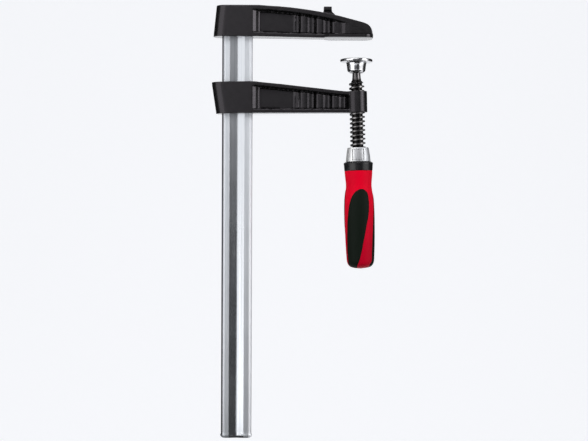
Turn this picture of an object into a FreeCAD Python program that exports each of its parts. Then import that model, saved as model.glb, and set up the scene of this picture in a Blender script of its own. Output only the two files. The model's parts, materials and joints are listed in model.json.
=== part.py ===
import FreeCAD, Part
import os
from math import cos, degrees, pi, radians, sin, sqrt, tan

from FreeCAD import Placement, Rotation, Vector

# Screw clamp of 400 mm opening and 120 mm throat. A cast jaw is fixed to the top of a flat
# steel rail, a cast arm slides on the rail below it, and a spindle through the arm's tip
# carries a swivelling pressure plate at its top and a two-colour handle at its bottom.
# Millimetres, upright: +Z runs up the rail, +X from the rail to the jaws' noses, Y across.
# The origin is on the fixed jaw's clamping face, one throat depth out from the rail.

# Rail
throat = 120.0
rail_width = 35.0
rail_thickness = 11.0
rail_reach = 458.3
rail_corner = 2.6
groove_width = 17.0
groove_depth = 1.5
stop_height = 4.6
stop_swell = 0.7
peen_height = 1.4
peen_swell = 1.0

# Both castings
sleeve_wall_y = 7.0
nose_half_width = 8.6
sleeve_corner = 10.0
edge_radius = 1.1
web_half = 4.8
ramp_length = 7.6
rib_width = 1.3
rib_height = 1.2
rib_gap = 2.2
flute_first = 66.9
flute_pitch = 18.2
flute_land = 5.7
flute_count = 3
flute_rise = 1.7
flute_step = 0.6
bead_height = 0.9
flute_draft = 0.4
pocket_corner = 1.6
flange_sweep = 300.0
taper_sweep = 150.0

# Fixed jaw
jaw_height = 36.3
jaw_relief = 1.2
jaw_back = 10.2
jaw_lean = 3.6
jaw_nose = 17.6
jaw_brow = 93.0
jaw_bend = 36.0
jaw_bend_height = 28.1
jaw_flange = 5.1
nose_height = 16.2
nose_round = 13.0
brow_sweep = 200.0
pad_half_width = 18.0
pad_thickness = 4.2
pad_reach = 38.0
pad_slope = 9.0
pad_corner = 4.0
lug_width = 9.4
lug_place = 34.4
lug_drop = 0.1
lug_foot = 23.6
lug_half_width = 7.0
lug_waist = 1.6

# Sliding arm
arm_top = 51.4
arm_height = 36.4
arm_back_top = 11.9
arm_back_bottom = 6.5
arm_flange = 4.7
arm_crest = 1.8
arm_fall = 9.2
arm_rise = 2.0
arm_sweep = 25.0
boss_radius = 11.7
boss_height = 24.4
boss_centre = 72.6
spindle_lean = 1.4

# Spindle, measured along its own axis from the middle of the arm's boss
thread_diameter = 17.6
thread_core = 12.6
thread_top = 23.2
thread_end = 52.5
neck_diameter = 9.3
ball_diameter = 15.0
ball_height = 39.0
tail_length = 86.0

# Pressure plate and its wire ring
plate_diameter = 37.4
plate_rise = 10.1
rim_thickness = 3.2
rim_bevel = 0.9
plate_thickness = 3.6
cup_top_radius = 11.4
cup_low_radius = 10.0
cup_depth = 5.8
cup_round = 2.2
wire_diameter = 1.2
wire_drop = 2.9
wire_opening = 36.0

# Handle
ferrule_length = 16.4
ferrule_top_radius = 12.3
ferrule_low_radius = 14.2
ferrule_bevel = 0.7
window_width = 13.2
window_height = 13.2
window_depth = 0.35
collar_length = 9.2
collar_radius = 16.9
collar_low_radius = 16.2
collar_chamfer = 1.6
handle_length = 113.3
handle_top_radius = 16.1
waist_radius = 14.7
waist_place = 18.0
belly_radius = 17.1
belly_place = 58.0
end_radius = 15.7
end_round = 7.0
grip_count = 3
grip_depth = 1.8
grip_proud = 0.35
grip_facing = 10.0

# Fits
slide_play = 0.4
press_gap = 0.04
running_gap = 0.08
seat_gap = 0.1
turning_gap = 0.1
groove_room = 0.45

# Places that follow from the sizes above
rail_in = -throat
rail_out = -throat - rail_width
sleeve_half = rail_thickness / 2 + sleeve_wall_y
thread_radius = thread_diameter / 2
tail_radius = thread_core / 2
ball_radius = ball_diameter / 2
lean = radians(spindle_lean)
lug_height = jaw_height - lug_drop
ball_x = -ball_height * sin(lean)
ball_z = -boss_centre + ball_height * cos(lean)


def side(x, z):
    """A point of the side view."""
    return Vector(x, 0, z)


def plan(x, y):
    """A point of the view from above."""
    return Vector(x, y, 0)


def outline(view, start, *steps):
    """A closed face from a start point and steps.

    A step is a point, reached by a straight line, or a pair of points, reached by an arc that
    passes through the first and ends at the second.
    """
    edges, here = [], view(*start)
    for step in steps + (start,):
        if isinstance(step[0], tuple):
            there = view(*step[1])
            edges.append(Part.Arc(here, view(*step[0]), there).toShape())
        else:
            there = view(*step)
            if (there - here).Length > 1e-6:
                edges.append(Part.LineSegment(here, there).toShape())
        here = there
    return Part.Face(Part.Wire(edges))


def rounded(view, *corners):
    """A closed face through corners (u, v, radius), each rounded by its radius."""
    points = [view(u, v) for u, v, _ in corners]
    edges, ends = [], []
    for i, (_, _, radius) in enumerate(corners):
        back = (points[i - 1] - points[i]).normalize()
        ahead = (points[(i + 1) % len(points)] - points[i]).normalize()
        half = back.getAngle(ahead) / 2
        first = points[i] + back * (radius / tan(half))
        last = points[i] + ahead * (radius / tan(half))
        if radius > 0:
            middle = points[i] + (back + ahead).normalize() * (radius / sin(half) - radius)
            edges.append(Part.Arc(first, middle, last).toShape())
        ends.append((first, last))
    for i, (first, _) in enumerate(ends):
        before = ends[i - 1][1]
        if (first - before).Length > 1e-6:
            edges.append(Part.LineSegment(before, first).toShape())
    return Part.Face(Part.Wire(Part.__sortEdges__(edges)))


def across(face, half):
    """The solid that a side-view face sweeps from -half to +half across the clamp."""
    solid = face.extrude(Vector(0, 2 * half, 0))
    solid.translate(Vector(0, -half, 0))
    return solid


def upward(face, low, high):
    """The solid that a plan-view face sweeps between two heights."""
    solid = face.extrude(Vector(0, 0, high - low))
    solid.translate(Vector(0, 0, low))
    return solid


def block(x0, x1, y0, y1, z0, z1):
    return Part.makeBox(x1 - x0, y1 - y0, z1 - z0, Vector(x0, y0, z0))


def turned(face):
    """The solid that a side-view face of radii and heights sweeps round the Z axis."""
    return face.revolve(Vector(0, 0, 0), Vector(0, 0, 1), 360)


def softened(solid, radius, chosen):
    """The solid with the chosen edges rounded."""
    return solid.makeFillet(radius, [edge for edge in solid.Edges if chosen(edge.BoundBox)])


def on_spindle(solid):
    """A solid made about the Z axis, from the middle of the boss, set on the leaning spindle."""
    placed = solid.copy()
    placed.Placement = Placement(Vector(0, 0, -boss_centre), Rotation(Vector(0, 1, 0), -spindle_lean))
    return placed


def at_ball(solid):
    """A solid made about the ball's centre, set on the ball with its axis upright."""
    placed = solid.copy()
    placed.translate(Vector(ball_x, 0, ball_z))
    return placed


def rail_section():
    """Flat bar with rounded corners and a shallow V groove down each broad face."""
    middle = (rail_in + rail_out) / 2
    half = rail_thickness / 2
    bar = rounded(
        plan,
        (rail_out, -half, rail_corner),
        (rail_in, -half, rail_corner),
        (rail_in, half, rail_corner),
        (rail_out, half, rail_corner),
    )
    for y in (-half, half):
        bottom = y - groove_depth if y > 0 else y + groove_depth
        outside = 2 * y
        bar = bar.cut(
            outline(
                plan,
                (middle - groove_width / 2, y),
                (middle, bottom),
                (middle + groove_width / 2, y),
                (middle + groove_width / 2, outside),
                (middle - groove_width / 2, outside),
            )
        )
    return bar.Faces[0]


def peened_end(gap):
    """The rail's top end, hammered out to fill the flared mouth of the jaw's slot."""
    rings = []
    for z, swell in ((jaw_height - peen_height, 0.0), (jaw_height, peen_swell)):
        x0, x1 = rail_out - swell - gap, rail_in + swell + gap
        y1 = rail_thickness / 2 + swell / 2 + gap
        corners = [Vector(x0, -y1, z), Vector(x1, -y1, z), Vector(x1, y1, z), Vector(x0, y1, z)]
        rings.append(Part.makePolygon(corners + corners[:1]))
    return Part.makeLoft(rings, True, True)


def make_rail():
    bar = upward(rail_section(), -rail_reach, jaw_height - peen_height / 2)
    bar = bar.fuse(peened_end(0.0))
    low, high = -rail_reach, stop_height - rail_reach
    swell, half = stop_swell, rail_thickness / 2 - rail_corner
    stop = outline(
        side,
        (rail_out + rail_corner, low),
        (rail_in - rail_corner, low),
        (rail_in + swell, low + rail_corner + swell),
        (rail_in, high),
        (rail_out, high),
        (rail_out - swell, low + rail_corner + swell),
    )
    keep = outline(
        side,
        (rail_out + rail_corner, low),
        (rail_in - rail_corner, low),
        (rail_in + 2 * swell, low + rail_corner + 2 * swell),
        (rail_in + 2 * swell, jaw_height),
        (rail_out - 2 * swell, jaw_height),
        (rail_out - 2 * swell, low + rail_corner + 2 * swell),
    )
    return bar.fuse(across(stop, half)).common(across(keep, sleeve_half)).removeSplitter()


def web_side(start, end, close_end):
    """Plan view of what a pocket takes away on the +Y side, down to the web's moulded face.

    From the rail outwards the web has a two-step ramp off the sleeve, a flat panel, a pair of
    thin ribs and a row of broad rounded flutes, each followed by a hollow and a thin bead.
    """
    far = 3 * sleeve_half
    step = ramp_length / 2
    shoulder = (sleeve_half + web_half) / 2
    steps = [
        ((start + step * 0.45, shoulder + 0.9), (start + step, shoulder)),
        (start + step + 0.5, shoulder - 0.2),
        ((start + step + 2.2, web_half + 1.2), (start + ramp_length, web_half)),
    ]
    x = -flute_first - 2 * rib_width - rib_gap - 1.0
    for _ in range(2):
        steps += [
            (x, web_half),
            (x + 0.2, web_half + rib_height),
            (x + rib_width, web_half + rib_height),
            (x + rib_width + 0.2, web_half),
        ]
        x += rib_width + rib_gap
    for i in range(flute_count):
        near = -flute_first + i * flute_pitch
        far_side = near + flute_pitch - flute_land
        bead = near + flute_pitch - rib_width
        steps += [
            (near, web_half),
            (near + flute_draft, web_half + flute_step),
            (((near + far_side) / 2, web_half + flute_rise), (far_side, web_half + flute_step)),
            (((far_side + bead) / 2, web_half), (bead, web_half + bead_height)),
            (near + flute_pitch - flute_draft, web_half + bead_height),
        ]
    last = -flute_first + flute_count * flute_pitch
    if close_end:
        steps += [(last, web_half), (last + 2.0, web_half)]
        steps += [((end - 3.0, web_half + flute_rise), (end, nose_half_width + 1.0))]
    else:
        steps += [(last, web_half), (end, web_half)]
    steps += [(end, far), (start, far)]
    return outline(plan, (start, sleeve_half), *steps)


def pockets(window, start, end, low, high, close_end):
    """The recesses beside the web, on both sides of a casting."""
    cut = across(window, 3 * sleeve_half).common(upward(web_side(start, end, close_end), low, high))
    other = cut.mirror(Vector(0, 0, 0), Vector(0, 1, 0))
    return cut, other


def casting(corners, nose):
    """A casting's outer form from its side view: narrowing to the nose, with rounded edges."""
    back = rail_out - 3 * jaw_back

    def rear(edge):
        return edge.XMax < rail_out and edge.ZLength > boss_height and edge.YLength < 0.01

    form = rounded(
        plan,
        (back, -sleeve_half, 0.0),
        (rail_in, -sleeve_half, taper_sweep),
        (nose, -nose_half_width, 0.0),
        (nose, nose_half_width, 0.0),
        (rail_in, sleeve_half, taper_sweep),
        (back, sleeve_half, 0.0),
    )
    view = rounded(side, *corners)
    box = view.BoundBox
    solid = across(view, 2 * sleeve_half).common(upward(form, box.ZMin - 1.0, box.ZMax + 1.0))
    middle = box.ZMin + edge_radius * 2
    solid = softened(solid, sleeve_corner, rear)
    for upper in (True, False):
        solid = softened(
            solid,
            edge_radius,
            lambda edge: edge.XLength > 1.0 and edge.ZLength < 30.0 and (edge.ZMax > middle + 1.0) == upper,
        )
    return solid


def rail_slot(gap, low, high):
    half = rail_thickness / 2 + gap
    return block(rail_out - gap, rail_in + gap, -half, half, low, high)


def jaw_pad():
    """The wide clamping pad under the fixed jaw's nose, with bevelled corners."""
    half, slope = pad_half_width, pad_slope
    foot = nose_half_width
    face = rounded(
        plan,
        (-pad_reach, -foot, pad_corner / 4),
        (-pad_reach + slope, -half, pad_corner * 0.6),
        (jaw_nose - slope * 0.9, -half + 0.8, pad_corner),
        (jaw_nose, -foot + 1.0, pad_corner),
        (jaw_nose, foot - 1.0, pad_corner),
        (jaw_nose - slope * 0.9, half - 0.8, pad_corner),
        (-pad_reach + slope, half, pad_corner * 0.6),
        (-pad_reach, foot, pad_corner / 4),
    )
    return softened(upward(face, 0.0, pad_thickness), 0.6, lambda box: box.ZMax < 0.01)


def jaw_lug():
    """The small hook-shaped lug on top of the fixed jaw, waisted below its head."""
    x0, x1 = -lug_place - lug_width / 2, -lug_place + lug_width / 2
    neck = lug_height - 4.6
    face = outline(
        side,
        (x0 - 3.4, lug_foot),
        (x0 - 3.4, neck - 2.2),
        ((x0 - 0.8, neck - 1.3), (x0, neck + 0.6)),
        (x0, lug_height - 0.9),
        ((x0 + 0.25, lug_height - 0.25), (x0 + 0.9, lug_height)),
        (x1 - 0.9, lug_height),
        ((x1 - 0.25, lug_height - 0.25), (x1, lug_height - 0.9)),
        (x1, neck),
        ((x1 + 1.0, neck - 2.6), (x1 + 4.2, neck - 5.0)),
        (x1 + 4.2, lug_foot),
    )
    lug = across(face, lug_half_width)
    run = 4 * lug_width
    for y in (-lug_half_width, lug_half_width):
        start = Vector(-lug_place - run / 2, y, lug_height - 3.8)
        lug = lug.cut(Part.makeCylinder(lug_waist, run, start, Vector(1, 0, 0)))
    return lug


def make_fixed_jaw():
    """Cast jaw with a sleeve round the rail, two flanges joined by a web, and a wide nose pad."""
    low, high = -1.0, jaw_height + 1.0
    jaw = casting(
        (
            (rail_out - jaw_back, jaw_relief, 0.0),
            (rail_in, jaw_relief, flange_sweep),
            (-pad_reach, 0.0, 0.0),
            (jaw_nose, 0.0, 0.0),
            (jaw_nose - 3.4, nose_height, nose_round),
            (-jaw_bend, jaw_bend_height, brow_sweep),
            (-jaw_brow, jaw_height, brow_sweep),
            (rail_out - jaw_back + jaw_lean, jaw_height, 0.0),
        ),
        jaw_nose + 5.0,
    )
    start = rail_in + 0.5
    end = jaw_nose - 7.0
    window = rounded(
        side,
        (start, jaw_relief + jaw_flange, pocket_corner),
        (end + 1.0, pad_thickness, pocket_corner),
        (end - 3.6, nose_height - jaw_flange + 2.4, 5.0),
        (-jaw_bend, jaw_bend_height - jaw_flange, brow_sweep * 0.75),
        (-jaw_brow, jaw_height - jaw_flange, brow_sweep * 0.75),
        (start, jaw_height - jaw_flange, pocket_corner),
    )
    for pocket in pockets(window, start, end + 1.5, low, high, True):
        jaw = jaw.cut(pocket)
    jaw = jaw.fuse([jaw_pad(), jaw_lug()])
    jaw = jaw.cut(rail_slot(press_gap, low, high)).cut(peened_end(press_gap))
    return jaw.removeSplitter()


def make_sliding_arm():
    """Cast arm with a sleeve on the rail, flanges and web as the jaw, and a round spindle boss."""
    top, bottom = -arm_top, -arm_top - arm_height
    low, high = bottom - 1.0, top + 2.0
    tip = -boss_radius / 2
    tip_top = top - arm_fall
    tip_bottom = bottom + arm_rise
    arm = casting(
        (
            (rail_out - arm_back_bottom, bottom, 0.0),
            (rail_in, bottom + arm_rise / 2, flange_sweep),
            (tip, tip_bottom, 0.0),
            (tip, tip_top, 0.0),
            (rail_in - 1.0, top + arm_crest, arm_sweep),
            (rail_out - arm_back_top, top, 0.0),
        ),
        0.0,
    )
    start = rail_in + 0.5
    end = -boss_radius + 3.0
    window = rounded(
        side,
        (start, bottom + arm_rise / 2 + arm_flange, pocket_corner),
        (end, tip_bottom + arm_flange - 0.6, 0.0),
        (end, tip_top - arm_flange, 0.0),
        (rail_in + 2.0, top + arm_crest - arm_flange, 1.0),
        (start, top + arm_crest - arm_flange, 0.0),
    )
    for pocket in pockets(window, start, end, low, high, False):
        arm = arm.cut(pocket)
    boss = Part.makeCylinder(boss_radius, boss_height, Vector(0, 0, -boss_height / 2))
    boss = softened(boss, 0.8, lambda box: box.ZLength < 0.01)
    arm = arm.fuse(on_spindle(boss))
    bore = Part.makeCylinder(thread_radius + running_gap, 2 * boss_height, Vector(0, 0, -boss_height))
    arm = arm.cut(on_spindle(bore))
    arm = arm.cut(rail_slot(slide_play, low, high))
    return arm.removeSplitter()


def make_spindle():
    """Forged ball and waisted neck on a threaded rod, with a plain tail that the handle holds."""
    neck = neck_diameter / 2
    ball_low = sqrt(ball_radius**2 - neck**2)
    root = tail_radius
    return on_spindle(
        turned(
            outline(
                side,
                (0, ball_height + ball_radius),
                ((ball_radius, ball_height), (neck, ball_height - ball_low)),
                (neck, ball_height - ball_low - 2.6),
                ((neck + 0.5, thread_top + 3.6), (root, thread_top)),
                (root, thread_top - 0.6),
                (thread_radius, thread_top - 2.2),
                (thread_radius, -thread_end),
                (root, -thread_end),
                (root, -thread_end - tail_length + 1.0),
                (root - 1.0, -thread_end - tail_length),
                (0, -thread_end - tail_length),
            )
        )
    )


def make_pressure_plate():
    """Turned plate with a cup that snaps over the ball. A groove in the cup holds the wire ring."""
    rim = plate_diameter / 2
    seat = ball_radius + seat_gap
    mouth = ball_radius + seat_gap + 0.06
    wire = wire_diameter / 2
    groove = sqrt(ball_radius**2 - wire_drop**2) + seat_gap + wire_diameter + groove_room
    under = plate_rise - plate_thickness
    rim_low = plate_rise - rim_thickness
    return at_ball(
        turned(
            outline(
                side,
                (0, seat),
                (0, plate_rise),
                (rim - rim_bevel, plate_rise),
                (rim, plate_rise - rim_bevel),
                (rim, rim_low + rim_bevel),
                (rim - rim_bevel, rim_low),
                (cup_top_radius + 1.0, under),
                (cup_top_radius, under - 0.8),
                (cup_low_radius, cup_round - cup_depth),
                (cup_low_radius - 0.3 * cup_round, 0.3 * cup_round - cup_depth),
                (cup_low_radius - cup_round, -cup_depth),
                (mouth, -cup_depth),
                (mouth, -wire_drop - wire - 0.1),
                (groove, -wire_drop - wire - 0.1),
                (groove, -wire_drop + wire + 0.1),
                (mouth, -wire_drop + wire + 0.1),
                (mouth, 0),
                (seat, 0),
                ((seat * sin(pi / 4), seat * cos(pi / 4)), (0, seat)),
            )
        )
    )


def make_snap_ring():
    """Open ring of spring wire that lies in the cup's groove, just below the ball's widest part."""
    wire = wire_diameter / 2
    reach = sqrt(ball_radius**2 - wire_drop**2) + seat_gap + wire
    start = radians(90 + wire_opening / 2)
    section = Part.Face(Part.Wire(Part.makeCircle(wire, Vector(reach, 0, 0), Vector(0, 1, 0))))
    section.rotate(Vector(0, 0, 0), Vector(0, 0, 1), degrees(start))
    ring = section.revolve(Vector(0, 0, 0), Vector(0, 0, 1), 360 - wire_opening)
    ring.translate(Vector(0, 0, -wire_drop))
    return at_ball(ring)


def make_ferrule():
    """Bright metal ferrule, a slightly swelling cone, with one shallow flat window."""
    top, low = -thread_end, -thread_end - ferrule_length
    middle_radius = (ferrule_top_radius + ferrule_low_radius) / 2 + 0.35
    cone = turned(
        outline(
            side,
            (tail_radius, low),
            (ferrule_low_radius, low),
            ((middle_radius, (top + low) / 2), (ferrule_top_radius, top - ferrule_bevel)),
            (ferrule_top_radius - ferrule_bevel, top),
            (tail_radius, top),
        )
    )
    half = window_width / 2
    window_low = (top + low - window_height) / 2
    window_top = (top + low + window_height) / 2
    floor = {}
    for z in (window_low, window_top):
        share = (z - low) / ferrule_length
        radius = ferrule_low_radius + share * (ferrule_top_radius - ferrule_low_radius)
        floor[z] = sqrt(radius**2 - half**2) - window_depth
    corners = [
        Vector(-half, -floor[window_low], window_low),
        Vector(-half, -floor[window_top], window_top),
        Vector(-half, -2 * ferrule_low_radius, window_top),
        Vector(-half, -2 * ferrule_low_radius, window_low),
    ]
    window = Part.Face(Part.makePolygon(corners + corners[:1])).extrude(Vector(window_width, 0, 0))
    return on_spindle(cone.cut(window))


def make_collar():
    """Black plastic ring between the ferrule and the handle, free on the spindle by a hair."""
    top = -thread_end - ferrule_length - turning_gap
    low = -thread_end - ferrule_length - collar_length + turning_gap
    bore = tail_radius + running_gap
    return on_spindle(
        turned(
            outline(
                side,
                (bore, low),
                (collar_low_radius, low),
                (collar_radius, top - collar_chamfer),
                (collar_radius - 0.5, top - collar_chamfer + 0.9),
                (ferrule_low_radius + 0.6, top),
                (bore, top),
            )
        )
    )


def handle_solid(grow):
    """The handle's full round form, standing off its surface by grow: waist, belly and domed end."""
    top = -thread_end - ferrule_length - collar_length
    end = side(0, top - handle_length - grow)
    corner = side(end_radius - end_round * 0.3 + grow, end.z + end_round * 0.34)
    stations = (
        (0.0, handle_top_radius),
        (waist_place, waist_radius),
        ((waist_place + belly_place) / 2, (waist_radius + 2 * belly_radius) / 3 + 0.4),
        (belly_place, belly_radius),
        (handle_length - end_round, end_radius),
    )
    points = [side(radius + grow, top - s) for s, radius in stations]
    long_side = Part.BSplineCurve()
    long_side.interpolate(points)
    taper = long_side.tangent(long_side.LastParameter)[0]
    dome = Part.BSplineCurve()
    dome.interpolate(Points=[points[-1], corner, end], InitialTangent=taper, FinalTangent=Vector(-1, 0, 0))
    foot = Part.LineSegment(end, side(0, top)).toShape()
    head = Part.LineSegment(side(0, top), points[0]).toShape()
    return turned(Part.Face(Part.Wire([long_side.toShape(), dome.toShape(), foot, head])))


def grip_prism(turn):
    """A prism, as seen from the middle of one grip insert, that bounds the insert's leaf shape.

    Its points give the distance below the collar, as a share of the handle's length, and the
    width to the left and right of the middle, as a share of the belly's radius: a rounded top
    and a long leaf that winds to the left as it narrows to the end.
    """
    left = ((1.04, -0.50), (0.953, -0.62), (0.812, -0.702), (0.636, -0.678), (0.441, -0.561), (0.309, -0.363))
    crown = ((0.238, -0.117), (0.1995, 0.269), (0.226, 0.597))
    right = ((0.309, 0.754), (0.441, 0.731), (0.583, 0.556), (0.724, 0.374), (0.865, 0.164), (1.04, -0.093))
    top = -thread_end - ferrule_length - collar_length
    points = [Vector(u * belly_radius, 0, top - s * handle_length) for s, u in left + crown + right]
    leaf = Part.BSplineCurve()
    leaf.interpolate(points)
    foot = Part.LineSegment(points[-1], points[0]).toShape()
    prism = Part.Face(Part.Wire([leaf.toShape(), foot])).extrude(Vector(0, -2 * belly_radius, 0))
    prism.rotate(Vector(0, 0, 0), Vector(0, 0, 1), turn - grip_facing)
    return prism


def make_handle():
    """Hard red handle, bored for the spindle's tail and recessed for the grips, and the grips."""
    body = handle_solid(0.0)
    core = handle_solid(-grip_depth)
    skin = handle_solid(grip_proud)
    hollow = tail_length + 1.0
    bore = Part.makeCylinder(tail_radius + running_gap, hollow, Vector(0, 0, -thread_end - hollow))
    grips = []
    for i in range(grip_count):
        prism = grip_prism(i * 360.0 / grip_count)
        body = body.cut(prism.cut(core))
        grips.append(on_spindle(skin.common(prism).cut(core)))
    return on_spindle(body.cut(bore)), grips


def save(name, shape):
    """One file per piece, named for it."""
    solid = shape.Solids[0] if len(shape.Solids) == 1 else shape
    solid.exportStep(os.path.join("parts", name + ".step"))
    print(name, "solids", len(shape.Solids), "valid", shape.isValid(), "volume", round(shape.Volume, 1))


os.makedirs("parts", exist_ok=True)
save("rail", make_rail())
save("fixed_jaw", make_fixed_jaw())
save("sliding_arm", make_sliding_arm())
save("spindle", make_spindle())
save("pressure_plate", make_pressure_plate())
save("snap_ring", make_snap_ring())
save("ferrule", make_ferrule())
save("collar", make_collar())
handle, inserts = make_handle()
save("handle_body", handle)
for number, insert in enumerate(inserts, 1):
    save("grip_insert_%d" % number, insert)
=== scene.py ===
import json
from math import atan, cos, hypot, pi, radians, sin, sqrt

import bmesh
import bpy
from mathutils import Matrix, Vector

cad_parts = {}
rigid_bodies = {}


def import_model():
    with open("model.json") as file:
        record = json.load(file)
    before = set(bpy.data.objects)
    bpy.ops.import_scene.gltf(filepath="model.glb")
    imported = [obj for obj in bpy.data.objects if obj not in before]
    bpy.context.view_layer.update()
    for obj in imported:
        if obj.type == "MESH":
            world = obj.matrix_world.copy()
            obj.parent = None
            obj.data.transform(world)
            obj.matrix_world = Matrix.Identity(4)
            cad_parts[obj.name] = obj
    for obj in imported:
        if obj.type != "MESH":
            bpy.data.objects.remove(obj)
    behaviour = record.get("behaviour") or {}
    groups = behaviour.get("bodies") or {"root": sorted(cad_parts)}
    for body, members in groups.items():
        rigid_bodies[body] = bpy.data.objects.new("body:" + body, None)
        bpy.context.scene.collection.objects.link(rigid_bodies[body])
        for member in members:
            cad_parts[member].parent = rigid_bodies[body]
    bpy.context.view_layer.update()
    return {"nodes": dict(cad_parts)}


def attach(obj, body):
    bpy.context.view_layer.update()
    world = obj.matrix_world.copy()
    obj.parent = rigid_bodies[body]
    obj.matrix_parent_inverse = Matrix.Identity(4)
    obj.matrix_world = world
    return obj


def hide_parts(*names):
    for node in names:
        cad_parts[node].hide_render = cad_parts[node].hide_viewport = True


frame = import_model()

# The camera stands square in front of the clamp, level with the rail's upper half, and leans by
# a fifth of a degree, as in the photograph.
MM = 0.001
scale_mm = 1.149
distance_mm = 1723.0
half_frame = 294
roll = radians(0.21)
eye = Vector((-71.9, -distance_mm, -209.0)) * MM
bpy.ops.object.camera_add()
camera = bpy.context.object
upright = Matrix.Rotation(-roll, 4, "Y") @ Matrix.Rotation(pi / 2, 4, "X")
camera.matrix_world = Matrix.Translation(eye) @ upright
camera.data.sensor_fit = "HORIZONTAL"
camera.data.angle = 2 * atan(half_frame * scale_mm / distance_mm)
bpy.context.scene.camera = camera
bpy.context.scene.view_settings.view_transform = "Standard"


# Every finish is a set of shader nodes. A Field is one value that varies over the surface, and
# arithmetic on it adds the nodes that work it out. A Finish is one material.
class Field:
    def __init__(self, finish, socket):
        self.finish = finish
        self.socket = socket

    def _math(self, operation, first, second):
        return self.finish.node("ShaderNodeMath", {"operation": operation}, {0: first, 1: second})

    def __add__(self, other):
        return self._math("ADD", self, other)

    def __sub__(self, other):
        return self._math("SUBTRACT", self, other)

    def __rsub__(self, other):
        return self._math("SUBTRACT", other, self)

    def __mul__(self, other):
        return self._math("MULTIPLY", self, other)

    def __pow__(self, other):
        return self._math("POWER", self, other)

    __radd__ = __add__
    __rmul__ = __mul__

    def ramp(self, low, high):
        """0 below low and 1 above high, smoothly between."""
        settings = {"interpolation_type": "SMOOTHSTEP"}
        values = {"Value": self, "From Min": low, "From Max": high}
        return self.finish.node("ShaderNodeMapRange", settings, values)


class Finish:
    def __init__(self, name, **constants):
        self.material = bpy.data.materials.new(name)
        self.material.use_nodes = True
        self.tree = self.material.node_tree
        self.shader = self.tree.nodes["Principled BSDF"]
        for socket, value in constants.items():
            self.shader.inputs[socket.replace("_", " ")].default_value = value
        self.place = self.node("ShaderNodeTexCoord", {}, {}, "Object")

    def node(self, kind, settings, values, out=0):
        """Adds a node with its settings and its inputs' values or links, and gives an output."""
        made = self.tree.nodes.new(kind)
        for name, value in settings.items():
            setattr(made, name, value)
        for key, value in values.items():
            if isinstance(value, Field):
                self.tree.links.new(value.socket, made.inputs[key])
            else:
                made.inputs[key].default_value = value
        return Field(self, made.outputs[out])

    def mapped(self, scale=(1, 1, 1), turn=(0, 0, 0), shift=(0, 0, 0)):
        """The piece's own coordinates, scaled, turned, then shifted."""
        values = {"Vector": self.place, "Scale": scale, "Rotation": turn, "Location": shift}
        return self.node("ShaderNodeMapping", {}, values)

    def noise(self, per_metre, detail=3.0, place=None, rough=0.55):
        """Soft, cloudy noise."""
        values = {
            "Vector": place or self.place,
            "Scale": per_metre,
            "Detail": detail,
            "Roughness": rough,
        }
        return self.node("ShaderNodeTexNoise", {}, values, "Fac")

    def stripes(self, along):
        """Fine lines along one value, such as a lathe leaves."""
        values = {"W": along, "Scale": 1.0, "Detail": 3.0}
        return self.node("ShaderNodeTexNoise", {"noise_dimensions": "1D"}, values, "Fac")

    def cells(self, per_metre):
        """Distance from the middle of the nearest of many scattered cells."""
        values = {"Vector": self.place, "Scale": per_metre}
        return self.node("ShaderNodeTexVoronoi", {}, values, "Distance")

    def parts(self, vector):
        """The three numbers of a vector."""
        split = self.tree.nodes.new("ShaderNodeSeparateXYZ")
        self.tree.links.new(vector.socket, split.inputs[0])
        return [Field(self, out) for out in split.outputs]

    def mix(self, share, first, second):
        """From the first colour to the second."""
        values = {0: share, 6: first, 7: second}
        return self.node("ShaderNodeMix", {"data_type": "RGBA"}, values, 2)

    def set(self, **fields):
        """Links fields to the shader's inputs."""
        for name, field in fields.items():
            self.tree.links.new(field.socket, self.shader.inputs[name.replace("_", " ")])

    def relief(self, height, depth_mm, strength):
        """Bumps of that depth over the surface."""
        values = {"Height": height, "Distance": depth_mm * MM, "Strength": strength}
        self.set(Normal=self.node("ShaderNodeBump", {}, values, "Normal"))


def grey(value):
    """A neutral grey."""
    return (value, value, value, 1.0)


# The stage is a pale paper sweep well behind the clamp. A tall soft light stands at each side,
# with a smaller lamp at the upper right and one light above. Four boards of dark cloth, which
# show in reflections alone, give the steel its contrast.
sweep_size = 7.0
wall_height = 5.0
sweep_bend = 1.6
rear_edge = 3.4
bpy.ops.object.select_all(action="DESELECT")
bpy.ops.mesh.primitive_plane_add(size=sweep_size, location=(0, -0.6, -0.92))
sweep = bpy.context.object
sweep.name = "paper_sweep"
bpy.ops.object.mode_set(mode="EDIT")
sheet = bmesh.from_edit_mesh(sweep.data)
for edge in sheet.edges:
    edge.select_set(all(vertex.co.y > rear_edge for vertex in edge.verts))
sheet.select_flush_mode()
bpy.ops.mesh.extrude_region_move(TRANSFORM_OT_translate={"value": (0, 0, wall_height)})
sheet = bmesh.from_edit_mesh(sweep.data)
for edge in sheet.edges:
    edge.select_set(all(v.co.y > rear_edge and v.co.z < 0.1 for v in edge.verts))
bpy.ops.mesh.bevel(offset=sweep_bend, segments=24, affect="EDGES")
bpy.ops.object.mode_set(mode="OBJECT")
bpy.ops.object.shade_smooth()
paper = Finish("pale_paper", Roughness=0.9, Emission_Strength=0.79)
fibre = paper.noise(60.0, 4.0)
paper.set(Base_Color=paper.mix(fibre, (0.44, 0.445, 0.46, 1), (0.46, 0.465, 0.48, 1)))
paper.set(Emission_Color=paper.mix(fibre, (0.955, 0.965, 0.995, 1), (0.965, 0.975, 1.0, 1)))
sweep.data.materials.append(paper.material)


def soft_light(name, place, aim, width, height, watts):
    """A rectangular soft light that faces a point."""
    bpy.ops.object.light_add(type="AREA", location=place)
    lamp = bpy.context.object
    lamp.name = name
    lamp.data.shape = "RECTANGLE"
    lamp.data.size = width
    lamp.data.size_y = height
    lamp.data.energy = watts
    lamp.rotation_euler = (Vector(aim) - Vector(place)).to_track_quat("-Z", "Y").to_euler()
    lamp.visible_camera = False


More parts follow.
